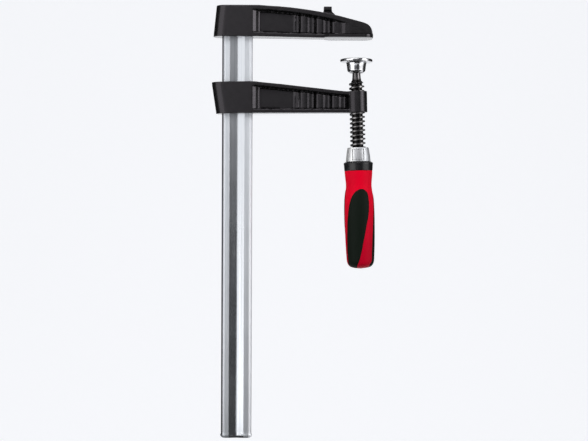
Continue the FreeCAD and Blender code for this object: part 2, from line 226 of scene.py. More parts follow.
soft_light("left_light", (-0.689, -0.413, 0.1), (-0.555, 0.0, 0.1), 0.864, 1.3, 5.7)
soft_light("right_light", (1.047, -0.58, -0.15), (0.0, 0.0, -0.15), 1.02, 2.1, 8.2)
soft_light("right_lamp", (1.08, -0.625, 0.3), (0.0, 0.0, 0.3), 0.63, 0.6, 4.3)
soft_light("top_light", (-0.35, -1.3, 1.3), (-0.05, 0.0, -0.2), 1.4, 1.0, 16.0)

cloth = Finish("dark_cloth", Roughness=0.95)
nap = cloth.noise(900.0, 2.0)
cloth.set(Base_Color=cloth.mix(nap, grey(0.012), grey(0.03)))


def dark_board(name, place, size, turn=0.0):
    """A board of dark cloth that shows in reflections alone."""
    bpy.ops.object.select_all(action="DESELECT")
    bpy.ops.mesh.primitive_cube_add(size=1.0, location=place, rotation=(0, 0, radians(turn)))
    board = bpy.context.object
    board.name = name
    board.scale = size
    bpy.ops.object.transform_apply(location=False, rotation=True, scale=True)
    board.data.materials.append(cloth.material)
    board.visible_camera = False
    board.visible_shadow = False


dark_board("front_board", (0.74, -2.05, -1.0), (1.15, 0.02, 2.0))
dark_board("left_board", (-1.0, 0.6, 0.1), (1.6, 0.02, 2.0), 52)
dark_board("right_board", (0.95, 0.75, 0.1), (1.3, 0.02, 2.0), -48)
dark_board("low_board", (-0.05, -0.6, -0.68), (1.8, 1.3, 0.02))

world = bpy.data.worlds.new("studio")
bpy.context.scene.world = world
world.use_nodes = True
surround = world.node_tree.nodes["Background"].inputs
surround["Color"].default_value = (0.86, 0.88, 0.94, 1)
surround["Strength"].default_value = 0.16


# The rail is a flat bar of bright cold-drawn steel, 35 by 11 mm, with rounded corners and a
# shallow V groove down each broad face. Its top is peened in the fixed jaw, and its bottom end
# is upset by a press so that the sliding arm can't come off.
throat = 120.0
rail_width = 35.0
rail_half = 5.5
rail_middle = -throat - rail_width / 2
rail_top = 36.3
rail_low = -458.3
rail_corner = 4.5
groove_half = 8.6
groove_depth = 1.5
groove_floor = 1.1
groove_lip = 0.35
groove_form = ((groove_floor, 0.86), (0.0, 0.96))
upset_cuts = (1.2, 2.6, 3.6, 4.8, 6.5)
upset_form = ((3.6, 0.55), (2.6, 0.75), (1.2, 0.2), (0.0, -1.1))
on_line = 0.05


def only(piece):
    """Selects one piece alone and makes it active."""
    bpy.ops.object.select_all(action="DESELECT")
    piece.select_set(True)
    bpy.context.view_layer.objects.active = piece


def edit(piece):
    """Opens one piece's mesh for editing, with nothing else selected."""
    only(piece)
    bpy.ops.object.mode_set(mode="EDIT")
    bpy.ops.mesh.select_mode(type="VERT")


def close():
    """Closes the open mesh."""
    bpy.ops.object.mode_set(mode="OBJECT")


def pick(piece, kind, test):
    """Selects the vertices, edges or faces whose middle passes a test, given in millimetres."""
    mode = {"verts": "VERT", "edges": "EDGE", "faces": "FACE"}[kind]
    bpy.ops.mesh.select_all(action="DESELECT")
    bpy.ops.mesh.select_mode(type=mode)
    mesh = bmesh.from_edit_mesh(piece.data)
    for item in getattr(mesh, kind):
        if kind == "verts":
            centre = item.co
        elif kind == "edges":
            centre = (item.verts[0].co + item.verts[1].co) / 2
        else:
            centre = item.calc_center_median()
        item.select_set(bool(test(item, centre / MM)))
    mesh.select_flush_mode()
    bmesh.update_edit_mesh(piece.data)


def rise_of(edge):
    """How far an edge rises, in millimetres."""
    return abs(edge.verts[0].co.z - edge.verts[1].co.z) / MM


def block(name, low, high):
    """A block between two corners in millimetres, with its mesh in place."""
    bpy.ops.object.select_all(action="DESELECT")
    centre = [(a + b) / 2 * MM for a, b in zip(low, high)]
    bpy.ops.mesh.primitive_cube_add(size=1.0, location=centre)
    piece = bpy.context.object
    piece.name = name
    piece.scale = [(b - a) * MM for a, b in zip(low, high)]
    bpy.ops.object.transform_apply(location=True, rotation=True, scale=True)
    return piece


def cut_across(axis, places):
    """Divides the open mesh by planes square to an axis, at places in millimetres."""
    normal = [float(i == axis) for i in range(3)]
    for place in places:
        bpy.ops.mesh.select_all(action="SELECT")
        bpy.ops.mesh.bisect(plane_co=[place * MM * n for n in normal], plane_no=normal)


def finish_piece(piece, body, slot, material, *nodes):
    """Gives a piece its material and its body, and hides the solids that it stands for."""
    piece.data.materials.clear()
    piece.data.materials.append(material)
    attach(piece, body)
    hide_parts(*nodes)


def apply_modifier(piece, kind, **settings):
    """Adds a modifier to a piece, with its settings, and applies it."""
    only(piece)
    bpy.ops.object.modifier_add(type=kind)
    modifier = piece.modifiers[-1]
    for name, value in settings.items():
        setattr(modifier, name, value)
    bpy.ops.object.modifier_apply(modifier=modifier.name)


def smooth(piece, degrees_sharp, flat_faces=False):
    """Shades a piece smooth up to an angle. Where it has flat faces, its bevels bend to them."""
    only(piece)
    bpy.ops.object.shade_smooth_by_angle(angle=radians(degrees_sharp))
    if flat_faces:
        apply_modifier(piece, "WEIGHTED_NORMAL", keep_sharp=True)


def on_groove_line(at, reach):
    """Whether a place lies on a line along the rail, that far from its middle."""
    return abs(abs(at.x - rail_middle) - reach) < on_line


rail = block(
    "rail_bar",
    (rail_middle - rail_width / 2, -rail_half, rail_low),
    (rail_middle + rail_width / 2, rail_half, rail_top),
)
edit(rail)
pick(rail, "edges", lambda edge, at: rise_of(edge) > 100)
bpy.ops.mesh.bevel(offset=rail_corner * MM, segments=7, profile=0.5, affect="EDGES")
groove_lines = (-groove_half, -groove_floor, 0, groove_floor, groove_half)
cut_across(0, [rail_middle + step for step in groove_lines])
for side in (-1, 1):
    for reach, share in groove_form:
        pick(rail, "verts", lambda v, at: on_groove_line(at, reach) and at.y * side > 4)
        bpy.ops.transform.translate(value=(0, -side * groove_depth * share * MM, 0))
cut_across(2, [rail_low + step for step in upset_cuts])
for height, grow in upset_form:
    pick(rail, "verts", lambda v, at: abs(at.z - rail_low - height) < on_line)
    span = (rail_width + 2 * grow) / rail_width
    deep = (rail_half + min(grow, 0.5) * 0.6) / rail_half
    centre = (rail_middle * MM, 0, (rail_low + height) * MM)
    bpy.ops.transform.resize(value=(span, deep, 1), center_override=centre)
pick(rail, "edges", lambda edge, at: on_groove_line(at, groove_half) and abs(at.y) > 5)
bpy.ops.mesh.bevel(offset=groove_lip * MM, segments=3, affect="EDGES")
close()
smooth(rail, 25, True)

steel = Finish("cold_drawn_steel", Metallic=1.0, Anisotropic=0.3)
along = steel.mapped(scale=(900, 900, 5))
drawn = steel.noise(1.0, 4.0, along, 0.6)
hair = steel.noise(1.0, 2.0, steel.mapped(scale=(4200, 4200, 14)), 0.5)
cloud = steel.noise(26.0, 3.0)
specks = steel.cells(420.0).ramp(0.10, 0.02)
streaks = drawn.ramp(0.35, 0.75) * 0.6 + cloud * 0.4
plain = steel.mix(streaks, (0.50, 0.52, 0.55, 1), (0.68, 0.70, 0.73, 1))
rail_x, _, rail_z = steel.parts(steel.mapped(shift=(-rail_middle * MM, 0, 0)))
across = (rail_x * rail_x) ** 0.5
rubbed = across.ramp((groove_half - 0.6) * MM, (groove_half + 0.4) * MM)
toward_top = rail_z.ramp(-0.42, 0.0)
rail_edge = rail_width / 2
right_corner_highlight = rail_x.ramp((rail_edge - 4.6) * MM, (rail_edge - 2.6) * MM)
left_corner_shade = (0.0 - rail_x).ramp((rail_edge - 3.2) * MM, (rail_edge - 2.1) * MM)
# Painted highlight: the base colour is brightened along the right-hand corner, more strongly
# towards the bottom.
plain = steel.mix(right_corner_highlight * (0.85 - 0.5 * toward_top), plain, (0.93, 0.94, 0.97, 1))
# Painted shade: the base colour darkens along the left-hand corner.
steel.set(Base_Color=steel.mix(left_corner_shade * 0.8, plain, (0.20, 0.20, 0.22, 1)))
wear = 0.12 + 0.24 * rubbed + 0.10 * right_corner_highlight - 0.18 * left_corner_shade + 0.13 * toward_top
steel.set(Roughness=wear + 0.10 * hair + 0.08 * cloud + 0.12 * specks)
steel.relief(drawn * 0.5 + hair * 0.5, 0.012, 0.5)
finish_piece(rail, "frame", "rail_steel", steel.material, "rail")


# Both jaws are ductile-iron castings with a satin black coat over a fine cast grain. Their
# sleeves hold the rail, and past a bare panel their web is fluted for stiffness. The casting is
# rounded as one form, as in a sand mould, and the slot for the rail is machined.
sleeve_half = 12.5
nose_half = 8.6
web_half = 4.8
rib_places = (-71.7, -68.4)
rib_height = 0.8
rib_half = 0.95
flute_first = -66.9
flute_pitch = 18.2
flute_count = 3
flute_form = (
    (0.0, -2.5), (0.8, -2.4), (1.3, 0.1), (2.2, 0.85), (3.4, 1.25), (4.6, 1.5), (5.8, 1.66),
    (7.0, 1.72), (8.0, 1.7), (9.0, 1.54), (10.0, 1.18), (11.0, 0.75), (12.0, 0.34), (12.8, 0.1),
    (13.6, 0.0), (14.8, 0.0), (15.7, 0.15), (16.4, 0.7), (17.1, 0.7), (17.5, -2.3),
    (18.2, -2.5),
)
ramp_form = (
    (-119.9, 12.4), (-119.2, 11.9), (-117.8, 11.0), (-116.4, 10.1), (-115.7, 9.5),
    (-115.2, 8.9), (-114.5, 7.0), (-113.9, 6.4), (-112.9, 5.5), (-112.2, 5.0),
    (-111.6, web_half),
)
fade_length = 16.0
flush_gap = 0.25
border_width = 1.5
border_slope = 1.1
border_depth = 3.2
border_start = 9.0
pocket_drop = 1.1
rear_rounding = 11.8
rear_limit = -161
voxel = 0.5


def between(x, stops):
    """The value at x on a line through stops (x, value)."""
    if x <= stops[0][0]:
        return stops[0][1]
    for (x0, v0), (x1, v1) in zip(stops, stops[1:]):
        if x <= x1:
            return v0 + (v1 - v0) * (x - x0) / (x1 - x0)
    return stops[-1][1]


def ease(x, start, end):
    """0 before start, 1 after end, smoothly between."""
    share = min(max((x - start) / (end - start), 0.0), 1.0)
    return share * share * (3 - 2 * share)


def web_depth(x, flush, last):
    """Half thickness of the web at x: two-step ramp off the sleeve, panel, ribs, flutes, nose."""
    depth = between(x, ramp_form)
    for rib in rib_places:
        depth += rib_height * max(0.0, 1 - (abs(x - rib) / rib_half) ** 2)
    along = x - flute_first
    if along > flute_count * flute_pitch:
        depth += flute_form[0][1]
    elif along >= 0.0:
        depth += between(along % flute_pitch, flute_form)
    return min(depth + (flush - depth) * ease(x, last, last + fade_length), flush)


def casting(name, ends, top, bottom, pocket, pocket_top, pocket_bottom, half, last):
    """A jaw's form: a bar cut at stations and shaped by its outlines, with a pocket each side."""
    low_x, high_x = ends
    piece = block(name, (low_x, -1, -2), (high_x, 1, 2))
    stations = set()
    for i in range(flute_count):
        stations |= {flute_first + i * flute_pitch + step for step, _ in flute_form}
    for rib in rib_places:
        stations |= {rib - 1.0, rib - 0.45, rib + 0.45, rib + 1.0}
    stations |= {x for x, _ in top + bottom + ramp_form} | set(pocket)
    chosen = []
    for x in sorted(stations):
        if low_x + 0.4 < x < high_x - 0.4 and (not chosen or x - chosen[-1] > 0.3):
            chosen.append(x)
    edit(piece)
    cut_across(0, chosen)
    cut_across(2, (-1, 1))
    mesh = bmesh.from_edit_mesh(piece.data)
    outlines = {-2: bottom, -1: pocket_bottom, 1: pocket_top, 2: top}
    for vertex in mesh.verts:
        x = vertex.co.x / MM
        row = round(vertex.co.z / MM)
        vertex.co.y = between(x, half) * (1 if vertex.co.y > 0 else -1) * MM
        vertex.co.z = between(x, outlines[row]) * MM
    bmesh.update_edit_mesh(piece.data)

    def in_pocket(face, at):
        """Whether a face lies flat in the panel between the flanges."""
        flat = abs(face.normal.y) > 0.9
        inside = pocket[0] < at.x < pocket[1]
        low, high = between(at.x, pocket_bottom), between(at.x, pocket_top)
        return flat and inside and low < at.z < high

    pick(piece, "faces", in_pocket)
    bpy.ops.mesh.inset(thickness=border_width * MM, depth=0)
    bpy.ops.mesh.inset(thickness=border_slope * MM, depth=0)
    mesh = bmesh.from_edit_mesh(piece.data)
    inner = {vertex for face in mesh.faces if face.select for vertex in face.verts}
    bpy.ops.mesh.select_more()
    mesh = bmesh.from_edit_mesh(piece.data)
    for vertex in {vertex for face in mesh.faces if face.select for vertex in face.verts}:
        x, z = vertex.co.x / MM, vertex.co.z / MM
        depth = web_depth(x, between(x, half) - flush_gap, last)
        if vertex not in inner and pocket[0] + border_start < x < last:
            depth -= border_depth
        if z < (between(x, pocket_top) + between(x, pocket_bottom)) / 2:
            vertex.co.z -= pocket_drop * MM
        vertex.co.y = depth * (1 if vertex.co.y > 0 else -1) * MM
    bmesh.update_edit_mesh(piece.data)
    close()
    return piece


def shape_rear(piece, limit, shifts):
    """Opens a casting, leans what lies behind the limit by its height, and rounds its corners."""
    edit(piece)
    mesh = bmesh.from_edit_mesh(piece.data)
    for vertex in mesh.verts:
        if vertex.co.x / MM < limit:
            vertex.co.x += between(vertex.co.z / MM, shifts) * MM
    bmesh.update_edit_mesh(piece.data)
    pick(piece, "edges", lambda edge, at: at.x < rear_limit and rise_of(edge) > 2)
    bpy.ops.mesh.bevel(offset=rear_rounding * MM, segments=10, affect="EDGES")


def joined(first, *others):
    """One object of several."""
    bpy.ops.object.select_all(action="DESELECT")
    for piece in (first,) + others:
        piece.select_set(True)
    bpy.context.view_layer.objects.active = first
    bpy.ops.object.join()
    return first


def moulded(piece, size_mm, rounds, kept):
    """Rounds a whole form together, as a mould does."""
    apply_modifier(piece, "REMESH", mode="VOXEL", voxel_size=size_mm * MM)
    apply_modifier(piece, "SMOOTH", factor=0.5, iterations=rounds)
    apply_modifier(piece, "DECIMATE", ratio=kept)


def combined(piece, other, operation):
    """Adds the other piece, takes it away or keeps what both share. The other is used up."""
    apply_modifier(piece, "BOOLEAN", operation=operation, object=other, solver="EXACT")
    bpy.data.objects.remove(other, do_unlink=True)


def machined(piece, cutter):
    """Takes a cutter's form out of a piece."""
    combined(piece, cutter, "DIFFERENCE")


jaw_top = (
    (-170.0, 37.0), (-112.0, 37.0), (-106.0, 36.5), (-98.0, 36.0), (-90.0, 35.6), (-77.0, 34.5),
    (-66.0, 33.2), (-54.5, 31.6), (-43.0, 29.8), (-32.0, 27.6), (-20.3, 25.1), (-8.9, 22.1),
    (2.5, 19.2), (8.2, 17.5), (11.6, 16.0), (13.9, 13.9), (15.6, 11.6), (16.9, 8.4),
    (17.6, 4.2), (17.9, 1.0),
)
jaw_bottom = ((-170.0, 1.2), (-116.0, 1.2), (-44.0, 0.0), (20.0, 0.0))
jaw_pocket_top = (
    (-170.0, 32.6), (-116.0, 32.5), (-109.0, 32.1), (-98.0, 31.6), (-74.0, 29.5), (-54.5, 26.6),
    (-32.0, 22.5), (-13.4, 17.9), (-3.0, 14.3), (4.0, 11.2), (9.5, 7.3), (13.0, 4.8),
)
jaw_pocket_bottom = (
    (-170.0, 6.3), (-116.0, 6.3), (-109.0, 5.8), (-74.0, 4.8), (-32.0, 4.2), (20.0, 4.3),
)
jaw_half = (
    (-170.0, sleeve_half), (-121.0, sleeve_half), (-116.0, 12.3), (-44.0, 10.4),
    (17.6, nose_half),
)
nose_form = ((16.5, 17.4, 0.94), (17.4, 17.8, 0.84), (17.8, 18.5, 0.76))
jaw = casting(
    "fixed_jaw_casting",
    (-165.2, 17.9),
    jaw_top,
    jaw_bottom,
    (-119.9, 9.5),
    jaw_pocket_top,
    jaw_pocket_bottom,
    jaw_half,
    last=-26.0,
)
shape_rear(jaw, -165.0, ((1.2, 0.0), (36.3, 3.6)))
for start, end, narrow in nose_form:
    pick(jaw, "verts", lambda v, at: start < at.x < end)
    bpy.ops.transform.resize(value=(1, narrow, 1), center_override=(0, 0, 0))
close()

pad_rear = -38
pad_front = 17.6
pad_half = 18
pad_thickness = 3.5
pad_middle = -10
pad_rear_corner = 4.8
pad_front_corner = 10.5
pad = block("pad", (pad_rear, -pad_half, 0), (pad_front, pad_half, pad_thickness))
edit(pad)
pick(pad, "edges", lambda edge, at: rise_of(edge) > 2 and at.x < 0)
bpy.ops.mesh.bevel(offset=pad_rear_corner * MM, segments=1, affect="EDGES")
pick(pad, "edges", lambda edge, at: rise_of(edge) > 2 and at.x > 0)
bpy.ops.mesh.bevel(offset=pad_front_corner * MM, segments=5, affect="EDGES")
pick(pad, "faces", lambda face, at: face.normal.z > 0.9)
bpy.ops.transform.resize(value=(0.995, 0.985, 1), center_override=(pad_middle * MM, 0, 0))
pick(pad, "edges", lambda edge, at: at.z < 0.1)
bpy.ops.mesh.bevel(offset=0.5 * MM, segments=2, affect="EDGES")
close()

lug_middle = -34.1
lug_half_length = 4.6
lug_half = 6.6
lug_foot = 22.5
lug_top = 36.2
lug = block(
    "lug",
    (lug_middle - lug_half_length, -lug_half, lug_foot),
    (lug_middle + lug_half_length, lug_half, lug_top),
)
lug_form = (
    (lug_foot, 6.0, 7.0, 0.76), (27.7, 2.6, 3.4, 0.76), (30.2, 0.4, 0.6, 0.76),
    (32.6, -0.1, 0.0, 1.0),
)
edit(lug)
cut_across(2, [height for height, *_ in lug_form[1:]])
for height, left, right, narrow in lug_form:
    pick(lug, "verts", lambda v, at: abs(at.z - height) < 0.1 and at.x < lug_middle)
    bpy.ops.transform.translate(value=(-left * MM, 0, 0))
    pick(lug, "verts", lambda v, at: abs(at.z - height) < 0.1 and at.x > lug_middle)
    bpy.ops.transform.translate(value=(right * MM, 0, 0))
    pick(lug, "verts", lambda v, at: abs(at.z - height) < 0.1)
    bpy.ops.transform.resize(value=(1, narrow, 1), center_override=(0, 0, height * MM))
close()

# The pad keeps its crisp edges, so it joins the jaw after the rounding, and a narrow undercut
# parts it from the flange above.
undercut_low = 4.2
undercut_high = 5.3
press_gap = 0.12
jaw = joined(jaw, lug)
moulded(jaw, voxel, 4, 0.42)
combined(jaw, pad, "UNION")
for side in (-1, 1):
    near, far = sorted((side * 7.0, side * 19.0))
    undercut = block("pad_undercut", (-33.0, near, undercut_low), (16.4, far, undercut_high))
    machined(jaw, undercut)


def rail_slot(gap, low, high):
    """The cutter for a slot round the rail, from one height to another."""
    return block(
        "slot",
        (rail_middle - rail_width / 2 - gap, -rail_half - gap, low),
        (rail_middle + rail_width / 2 + gap, rail_half + gap, high),
    )


machined(jaw, rail_slot(press_gap, -5, 42))
smooth(jaw, 40)

iron = Finish(
    "satin_black_casting",
    Coat_Roughness=0.14,
    Specular_IOR_Level=0.45,
    Specular_Tint=(0.98, 0.91, 1.0, 1),
)
grain = iron.noise(850.0, 4.0, rough=0.65)
waves = iron.noise(170.0, 3.0)
sand = iron.cells(900.0).ramp(0.45, 0.05)
black, worn_black = (0.0012, 0.0013, 0.0012, 1), (0.003, 0.0032, 0.003, 1)
iron.set(Base_Color=iron.mix(waves.ramp(0.3, 0.7), black, worn_black))
_, facing_y, facing_z = iron.parts(iron.node("ShaderNodeTexCoord", {}, {}, "Normal"))
flat_side = (facing_y * facing_y).ramp(0.96, 0.995)
iron.set(Roughness=0.21 + 0.15 * flat_side + 0.06 * waves + 0.06 * grain)
iron.set(Coat_Weight=(0.0 - facing_z).ramp(0.6, 0.95) * 0.7)
iron.relief(grain * (0.25 + 0.45 * flat_side) + sand * 0.3 + waves * 0.8, 0.14, 0.55)
finish_piece(jaw, "frame", "black_casting", iron.material, "fixed_jaw")


# The sliding arm is cast like the jaw. Its tip ends in a round boss that is tapped for the
# spindle, whose axis leans away from the rail by 1.4 degrees. Its slot rides on the rail with a
# small play, so that the arm cants and locks when the spindle presses.
spindle_lean = radians(1.4)
boss_middle = -72.6
boss_radius = 11.7
boss_height = 24.4
bore_radius = 8.95
arm_play = 0.4
on_spindle = Matrix.Translation((0, 0, boss_middle * MM)) @ Matrix.Rotation(-spindle_lean, 4, "Y")

arm_top = (
    (-170.0, -50.9), (-143.0, -50.4), (-122.7, -50.0), (-117.0, -50.2), (-109.0, -51.1),
    (-88.0, -53.0), (-65.6, -55.4), (-42.8, -57.8), (-21.0, -60.2), (-14.0, -60.8),
    (5.0, -61.6),
)
arm_bottom = ((-170.0, -87.2), (-116.0, -86.4), (-15.0, -85.5), (5.0, -85.5))
arm_pocket_top = (
    (-170.0, -54.3), (-113.6, -54.5), (-109.0, -55.1), (-73.6, -58.5), (-65.6, -59.3),
    (-21.0, -64.2), (5.0, -65.6),
)
arm_pocket_bottom = ((-170.0, -82.0), (-109.0, -81.8), (5.0, -81.2))
arm_half = (
    (-170.0, sleeve_half), (-121.0, sleeve_half), (-116.0, 12.3), (-14.0, 7.9), (5.0, 7.6),
)
arm = casting(
    "sliding_arm_casting",
    (-166.9, -4.0),
    arm_top,
    arm_bottom,
    (-119.9, -5.5),
    arm_pocket_top,
    arm_pocket_bottom,
    arm_half,
    last=40.0,
)
shape_rear(arm, -166.5, ((-87.8, 5.4), (-52.0, 0.0)))
close()


def bar_on_spindle(radius, length):
    """A round bar about the spindle's axis, centred in the boss."""
    bpy.ops.object.select_all(action="DESELECT")
    bpy.ops.mesh.primitive_cylinder_add(vertices=64, radius=radius * MM, depth=length * MM)
    bar = bpy.context.object
    bar.matrix_world = on_spindle
    bpy.ops.object.transform_apply(location=True, rotation=True, scale=True)
    return bar


arm = joined(arm, bar_on_spindle(boss_radius, boss_height))
moulded(arm, voxel, 4, 0.42)
machined(arm, rail_slot(arm_play, -95, -45))
machined(arm, bar_on_spindle(bore_radius, 30))
smooth(arm, 40)
finish_piece(arm, "arm", "black_casting", iron.material, "sliding_arm")


# The spindle is steel with an oiled black-oxide finish: a rolled trapezoidal thread, a waisted
# neck and a forged ball. The thread's crests are polished a little by the boss.
thread_radius = 8.8
core_radius = 6.3
pitch = 5.0
turns = 19
turns_below = 6
crest_place = -27.2
run_out = 24.9
run_out_depth = 1.3
thread_end = 52.5
into_ferrule = 1
ball_height = 39.0
ball_radius = 7.5
neck_radius = 4.65
neck_form = ((0.0, 30.5), (0.15, 28.2), (0.4, 26.3), (0.7, 24.8), (1.0, 23.6), (1.0, 21.0))


def one_point(name):
    """Opens a new mesh of one vertex, from which an outline is drawn."""
    bpy.ops.object.select_all(action="DESELECT")
    bpy.ops.mesh.primitive_plane_add(size=MM)
    piece = bpy.context.object
    piece.name = name
    edit(piece)
    bpy.ops.mesh.select_all(action="SELECT")
    bpy.ops.mesh.merge(type="CENTER")
    return piece


def turned(name, stops, steps):
    """A closed piece turned about the Z axis: its outline is drawn point by point, then spun."""
    piece = one_point(name)
    points = [Vector((r, 0, z)) * MM for r, z in stops]
    bpy.ops.transform.translate(value=points[0])
    for here, there in zip(points, points[1:] + points[:1]):
        bpy.ops.mesh.extrude_region_move(TRANSFORM_OT_translate={"value": there - here})
    bpy.ops.mesh.select_all(action="SELECT")
    bpy.ops.mesh.remove_doubles(threshold=1e-7)
    bpy.ops.mesh.spin(steps=steps, angle=2 * pi, center=(0, 0, 0), axis=(0, 0, 1))
    bpy.ops.mesh.select_all(action="SELECT")
    bpy.ops.mesh.remove_doubles(threshold=2e-6)
    bpy.ops.mesh.normals_make_consistent(inside=False)
    close()
    return piece


def arc(centre_r, centre_z, radius, first, last, count):
    """Points of an arc in an outline, from one angle to another in degrees."""
    angles = [radians(first + (last - first) * i / count) for i in range(count + 1)]
    return [(centre_r + radius * cos(a), centre_z + radius * sin(a)) for a in angles]


def stand(piece, matrix):
    """Puts a piece made about the Z axis in its place, in its mesh."""
    only(piece)
    piece.matrix_world = matrix
    bpy.ops.object.transform_apply(location=True, rotation=True, scale=True)


thread = one_point("spindle_rod")
flank = ((0.92, 0.0), (1.12, 0.3), (1.58, 2.2), (1.72, 2.5))
profile = [(core_radius, 0.0)] + [(core_radius + rise, z) for z, rise in flank]
profile += [(core_radius + rise, pitch - z) for z, rise in reversed(flank)]
profile += [(core_radius, pitch)]
start_z = crest_place - pitch / 2 - turns_below * pitch
bpy.ops.transform.translate(value=Vector((profile[0][0], 0, start_z)) * MM)
for (r0, z0), (r1, z1) in zip(profile, profile[1:]):
    step = Vector((r1 - r0, 0, z1 - z0)) * MM
    bpy.ops.mesh.extrude_region_move(TRANSFORM_OT_translate={"value": step})
close()
apply_modifier(
    thread,
    "SCREW",
    screw_offset=pitch * MM,
    iterations=turns,
    steps=72,
    render_steps=72,
    use_merge_vertices=True,
    merge_threshold=1e-6,
    axis="Z",
)
edit(thread)
bpy.ops.mesh.select_all(action="SELECT")
bpy.ops.mesh.remove_doubles(threshold=1e-6)
for end, side in ((run_out, "clear_outer"), (-thread_end - into_ferrule, "clear_inner")):
    bpy.ops.mesh.select_all(action="SELECT")
    plane = {"plane_co": (0, 0, end * MM), "plane_no": (0, 0, 1), side: True}
    bpy.ops.mesh.bisect(use_fill=True, **plane)
mesh = bmesh.from_edit_mesh(thread.data)
for vertex in mesh.verts:
    radius = hypot(vertex.co.x, vertex.co.y) / MM
    limit = core_radius - run_out_depth + max(0.0, run_out - vertex.co.z / MM)
    if radius > limit:
        vertex.co.x *= limit / radius
        vertex.co.y *= limit / radius
bpy.ops.mesh.select_all(action="SELECT")
bpy.ops.mesh.normals_make_consistent(inside=False)
close()

ball_foot = sqrt(ball_radius**2 - neck_radius**2)
neck_low = ball_height - ball_foot
start_angle = -90 + atan(neck_radius / ball_foot) * 180 / pi
outline = [(0, ball_height + ball_radius)]
outline += arc(0, ball_height, ball_radius, 84, start_angle, 22)
outline += [(neck_radius, neck_low - 0.9)]
for swell, place in neck_form:
    outline += [(neck_radius + swell, place)]
outline += [(0, neck_form[-1][1])]
neck = turned("spindle_neck", outline, 72)
spindle = joined(thread, neck)
stand(spindle, on_spindle)
smooth(spindle, 35)

oxide = Finish("black_oxide_steel", Metallic=1.0)
axis_shift = (-boss_middle * MM * sin(spindle_lean), 0, -boss_middle * MM * cos(spindle_lean))
on_axis = {"turn": (0, spindle_lean, 0), "shift": axis_shift}
across_x, across_y, height = oxide.parts(oxide.mapped(**on_axis))
radius = (across_x * across_x + across_y * across_y) ** 0.5
crest = radius.ramp((thread_radius - 0.45) * MM, (thread_radius - 0.05) * MM)
blotch = oxide.noise(220.0, 3.0)
mill = oxide.noise(1800.0, 3.0)
worn = crest * blotch.ramp(0.30, 0.62)
root = radius.ramp((core_radius + 1.2) * MM, (core_radius - 0.1) * MM)
bright_neck = height.ramp((run_out - 0.5) * MM, (run_out + 3.0) * MM)
dark = oxide.mix(root * (1 - bright_neck), (0.050, 0.048, 0.048, 1), (0.014, 0.013, 0.013, 1))
dark = oxide.mix(bright_neck, dark, (0.115, 0.109, 0.112, 1))
oxide.set(Base_Color=oxide.mix(worn * 0.75, dark, (0.30, 0.29, 0.29, 1)))
oxide.set(Roughness=0.20 + 0.12 * blotch + 0.06 * mill)
oxide.relief(mill * 0.6 + blotch * 0.4, 0.03, 0.5)
finish_piece(spindle, "screw", "black_oxide_steel", oxide.material, "spindle")


# The pressure plate is turned from steel and bright plated: a thin disc, slightly dished, with
# a cup below it that snaps over the ball. The cup's inner groove is wide enough for the snap
# ring at any tilt. The plate stays level while the spindle leans.
ball_x = -ball_height * sin(spindle_lean)
ball_z = boss_middle + ball_height * cos(spindle_lean)
ball_place = Vector((ball_x, 0, ball_z))
plate_radius = 18.7
plate_rise = 10.1
rim_top = 1.3
rim_low = 1.0
seat = ball_radius + 0.12
cup_mouth = 7.66
plate_line = [(0, plate_rise - 0.35), (6.0, plate_rise - 0.33), (12.5, plate_rise - 0.12)]
plate_line += [(15.5, plate_rise)]
plate_line += arc(plate_radius - rim_top, plate_rise - rim_top, rim_top, 90, 0, 6)
plate_line += arc(plate_radius - rim_low, plate_rise - 2.4, rim_low, 0, -90, 6)
plate_line += [(14.0, plate_rise - 3.55)]
plate_line += [(12.8, plate_rise - 3.7), (12.0, plate_rise - 4.1), (11.55, plate_rise - 4.9)]
plate_line += [(10.95, 1.8), (10.7, -0.6)]
plate_line += arc(6.6, -1.75, 4.0, 0, -72, 9)
plate_line += [(cup_mouth, -5.4), (cup_mouth, -4.75), (8.3, -4.75), (8.75, -3.9), (9.05, -2.9)]
plate_line += [(9.05, -1.0), (cup_mouth, -1.0), (cup_mouth, 0)]
plate_line += arc(0, 0, seat, 8, 82, 12)
plate_line += [(0, seat)]
plate = turned("pressure_plate_disc", plate_line, 128)
stand(plate, Matrix.Translation(ball_place * MM))
smooth(plate, 32)

plated = Finish("bright_plated_steel", Metallic=1.0, Anisotropic=0.35)
plate_x, plate_y, plate_z = plated.parts(plated.mapped(shift=-ball_place * MM))
plate_r = (plate_x * plate_x + plate_y * plate_y) ** 0.5
rings = plated.stripes(plate_r * 2600.0 + plate_z * 700.0)
smudge = plated.noise(120.0, 3.0)
tones = rings * 0.5 + smudge * 0.5
plated.set(Base_Color=plated.mix(tones, (0.52, 0.52, 0.54, 1), (0.70, 0.70, 0.71, 1)))
plated.set(Roughness=0.10 + 0.08 * smudge + 0.05 * rings)
plated.relief(rings, 0.008, 0.4)
finish_piece(plate, "plate", "plated_steel", plated.material, "pressure_plate")


# The snap ring is bent from spring wire and lies in the cup's groove just below the middle of
# the ball. Its gap lets it spread when the plate is pushed on or pulled off.
wire = Finish("drawn_spring_wire", Metallic=1.0, Anisotropic=0.3)
drag = wire.noise(1500.0, 3.0)
wire.set(Base_Color=wire.mix(drag, (0.30, 0.30, 0.32, 1), (0.48, 0.48, 0.50, 1)))
wire.set(Roughness=0.25 + 0.15 * drag)
wire.relief(drag, 0.01, 0.4)
snap_ring = frame["nodes"]["snap_ring"]
snap_ring.data.materials.clear()
snap_ring.data.materials.append(wire.material)


